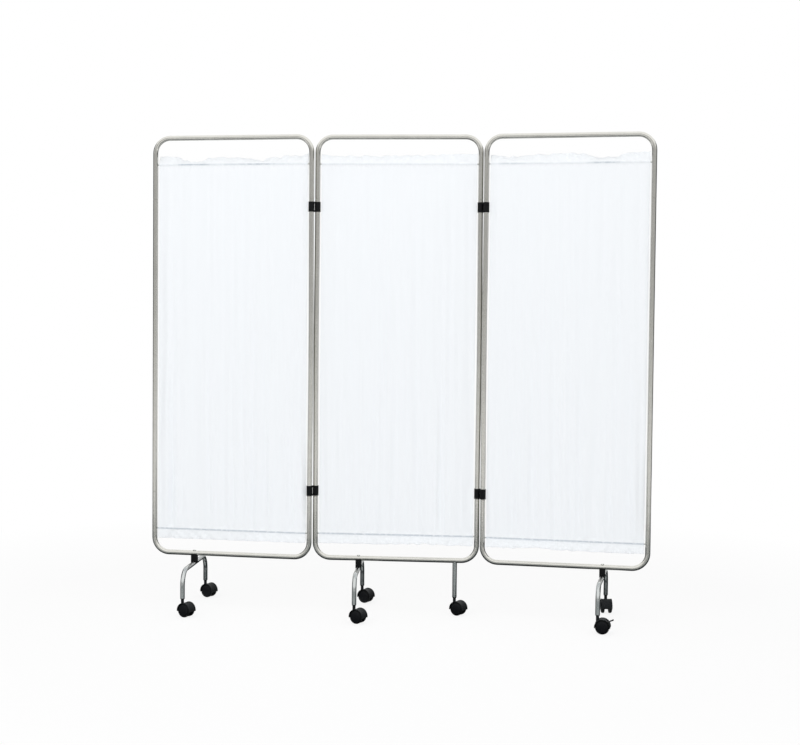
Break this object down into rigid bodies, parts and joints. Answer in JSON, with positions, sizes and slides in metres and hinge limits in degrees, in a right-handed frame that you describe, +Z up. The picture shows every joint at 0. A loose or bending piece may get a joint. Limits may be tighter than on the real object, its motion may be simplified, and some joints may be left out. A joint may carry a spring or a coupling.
{
  "type": "ward privacy screen on wheels",
  "caption": "Folding privacy screen of push-together tube frames with gathered white curtains, joined by clip hinges and standing on tube feet with swivel castors.",
  "frame": {"origin": "on the floor, under the middle of the whole screen as it stands", "axes": "+X along the middle panel to the right as seen from the front, +Y from the front to the back, +Z up"},
  "size_m": [1.7988, 0.4878, 1.713],
  "materials": {
    "frame_steel": "satin",
    "leg_steel": "satin",
    "rod_steel": "satin",
    "bolt_steel": "bright",
    "curtain_cloth": "woven",
    "black_plastic": "moulded",
    "castor_wheel": "moulded"
  },
  "bodies": {
    "middle_panel": {"middle_top_bow": "frame_steel", "middle_bottom_bow": "frame_steel", "middle_left_upright": "frame_steel", "middle_right_upright": "frame_steel", "middle_top_rod": "rod_steel", "middle_bottom_rod": "rod_steel", "middle_curtain": "curtain_cloth", "middle_foot_clamp": "black_plastic", "middle_foot_bow": "leg_steel", "middle_foot_bolt": "bolt_steel", "middle_foot_nut": "bolt_steel", "middle_straight_leg": "leg_steel", "middle_front_castor_socket": "black_plastic", "middle_back_castor_socket": "black_plastic", "middle_end_castor_socket": "black_plastic"},
    "left_clips": {"left_upper_clip": "black_plastic", "left_lower_clip": "black_plastic"},
    "left_panel": {"left_top_bow": "frame_steel", "left_bottom_bow": "frame_steel", "left_left_upright": "frame_steel", "left_right_upright": "frame_steel", "left_top_rod": "rod_steel", "left_bottom_rod": "rod_steel", "left_curtain": "curtain_cloth", "left_foot_clamp": "black_plastic", "left_foot_bow": "leg_steel", "left_foot_bolt": "bolt_steel", "left_foot_nut": "bolt_steel", "left_front_castor_socket": "black_plastic", "left_back_castor_socket": "black_plastic"},
    "right_clips": {"right_upper_clip": "black_plastic", "right_lower_clip": "black_plastic"},
    "right_panel": {"right_top_bow": "frame_steel", "right_bottom_bow": "frame_steel", "right_left_upright": "frame_steel", "right_right_upright": "frame_steel", "right_top_rod": "rod_steel", "right_bottom_rod": "rod_steel", "right_curtain": "curtain_cloth", "right_foot_clamp": "black_plastic", "right_foot_bow": "leg_steel", "right_foot_bolt": "bolt_steel", "right_foot_nut": "bolt_steel", "right_front_castor_socket": "black_plastic", "right_back_castor_socket": "black_plastic"},
    "middle_front_castor": {"middle_front_castor_body": "black_plastic"},
    "middle_front_wheels": {"middle_front_castor_wheels": "castor_wheel"},
    "middle_back_castor": {"middle_back_castor_body": "black_plastic"},
    "middle_back_wheels": {"middle_back_castor_wheels": "castor_wheel"},
    "middle_end_castor": {"middle_end_castor_body": "black_plastic"},
    "middle_end_wheels": {"middle_end_castor_wheels": "castor_wheel"},
    "left_front_castor": {"left_front_castor_body": "black_plastic"},
    "left_front_wheels": {"left_front_castor_wheels": "castor_wheel"},
    "left_back_castor": {"left_back_castor_body": "black_plastic"},
    "left_back_wheels": {"left_back_castor_wheels": "castor_wheel"},
    "right_front_castor": {"right_front_castor_body": "black_plastic"},
    "right_front_wheels": {"right_front_castor_wheels": "castor_wheel"},
    "brake_lever": {"right_front_brake_lever": "black_plastic"},
    "right_back_castor": {"right_back_castor_body": "black_plastic"},
    "right_back_wheels": {"right_back_castor_wheels": "castor_wheel"}
  },
  "joints": [
    {"name": "left_clip_hinge", "type": "hinge", "parent": "middle_panel", "child": "left_clips", "pos_m": [-0.29015, 0.01905, 0], "axis": [0, 0, 1], "range_deg": [-90, 30]},
    {"name": "left_panel_hinge", "type": "hinge", "parent": "left_clips", "child": "left_panel", "pos_m": [-0.31072, 0.00669, 0], "axis": [0, 0, 1], "range_deg": [-50, 120]},
    {"name": "right_clip_hinge", "type": "hinge", "parent": "middle_panel", "child": "right_clips", "pos_m": [0.29185, 0.01905, 0], "axis": [0, 0, 1], "range_deg": [-30, 90]},
    {"name": "right_panel_hinge", "type": "hinge", "parent": "right_clips", "child": "right_panel", "pos_m": [0.31242, 0.00669, 0], "axis": [0, 0, 1], "range_deg": [-83, 36]},
    {"name": "left_front_swivel", "type": "hinge", "parent": "left_panel", "child": "left_front_castor", "pos_m": [-0.74026, -0.13258, 0], "axis": [0, 0, 1], "continuous": true},
    {"name": "left_front_spin", "type": "hinge", "parent": "left_front_castor", "child": "left_front_wheels", "pos_m": [-0.72485, -0.13976, 0.02425], "axis": [0.4226, 0.9063, 0], "continuous": true},
    {"name": "left_back_swivel", "type": "hinge", "parent": "left_panel", "child": "left_back_castor", "pos_m": [-0.73778, 0.22241, 0], "axis": [0, 0, 1], "continuous": true},
    {"name": "left_back_spin", "type": "hinge", "parent": "left_back_castor", "child": "left_back_wheels", "pos_m": [-0.72237, 0.21523, 0.02425], "axis": [0.4226, 0.9063, 0], "continuous": true},
    {"name": "middle_front_swivel", "type": "hinge", "parent": "middle_panel", "child": "middle_front_castor", "pos_m": [-0.12689, -0.15837, 0], "axis": [0, 0, 1], "continuous": true},
    {"name": "middle_front_spin", "type": "hinge", "parent": "middle_front_castor", "child": "middle_front_wheels", "pos_m": [-0.11148, -0.16555, 0.02425], "axis": [0.4226, 0.9063, 0], "continuous": true},
    {"name": "middle_back_swivel", "type": "hinge", "parent": "middle_panel", "child": "middle_back_castor", "pos_m": [-0.13742, 0.19648, 0], "axis": [0, 0, 1], "continuous": true},
    {"name": "middle_back_spin", "type": "hinge", "parent": "middle_back_castor", "child": "middle_back_wheels", "pos_m": [-0.12201, 0.18929, 0.02425], "axis": [0.4226, 0.9063, 0], "continuous": true},
    {"name": "middle_end_swivel", "type": "hinge", "parent": "middle_panel", "child": "middle_end_castor", "pos_m": [0.21485, 0.01905, 0], "axis": [0, 0, 1], "continuous": true},
    {"name": "middle_end_spin", "type": "hinge", "parent": "middle_end_castor", "child": "middle_end_wheels", "pos_m": [0.22972, 0.01081, 0.02425], "axis": [0.4848, 0.8746, 0], "continuous": true},
    {"name": "right_front_swivel", "type": "hinge", "parent": "right_panel", "child": "right_front_castor", "pos_m": [0.71081, -0.21878, 0], "axis": [0, 0, 1], "continuous": true},
    {"name": "right_front_spin", "type": "hinge", "parent": "right_front_castor", "child": "right_front_wheels", "pos_m": [0.72764, -0.22115, 0.02425], "axis": [0.1392, 0.9903, 0], "continuous": true},
    {"name": "right_back_swivel", "type": "hinge", "parent": "right_panel", "child": "right_back_castor", "pos_m": [0.76021, 0.13276, 0], "axis": [0, 0, 1], "continuous": true},
    {"name": "right_back_spin", "type": "hinge", "parent": "right_back_castor", "child": "right_back_wheels", "pos_m": [0.7617, 0.11583, 0.02425], "axis": [0.9962, 0.0872, 0], "continuous": true},
    {"name": "brake_press", "type": "hinge", "parent": "right_front_castor", "child": "brake_lever", "pos_m": [0.74151, -0.2231, 0.04385], "axis": [0.1392, 0.9903, 0], "range_deg": [0, 18]}
  ]
}
